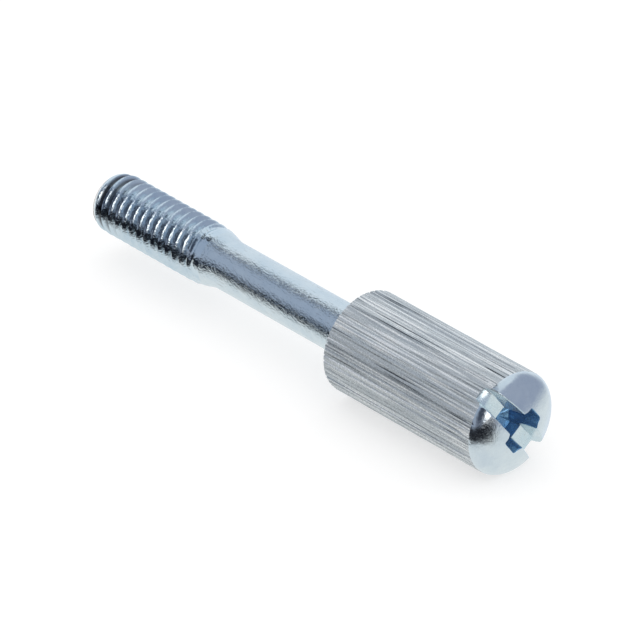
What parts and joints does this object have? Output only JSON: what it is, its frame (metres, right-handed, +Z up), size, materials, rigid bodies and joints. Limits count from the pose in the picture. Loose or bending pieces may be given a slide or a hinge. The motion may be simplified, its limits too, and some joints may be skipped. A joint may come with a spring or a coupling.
{
  "type": "knurled captive screw",
  "caption": "Captive screw with an M6 thread, a thin plain shank and a long straight-knurled head that has a combined slot and cross recess.",
  "frame": {"origin": "centre of the head's bearing face, on the screw's axis", "axes": "+X along the axis from the thread to the driver end, +Z up as the screw lies on its head"},
  "size_m": [0.0551, 0.01, 0.01],
  "materials": {
    "zinc_plated_steel": "bright zinc with a blue passivate"
  },
  "bodies": {
    "root": {"screw": "zinc_plated_steel"}
  },
  "joints": []
}
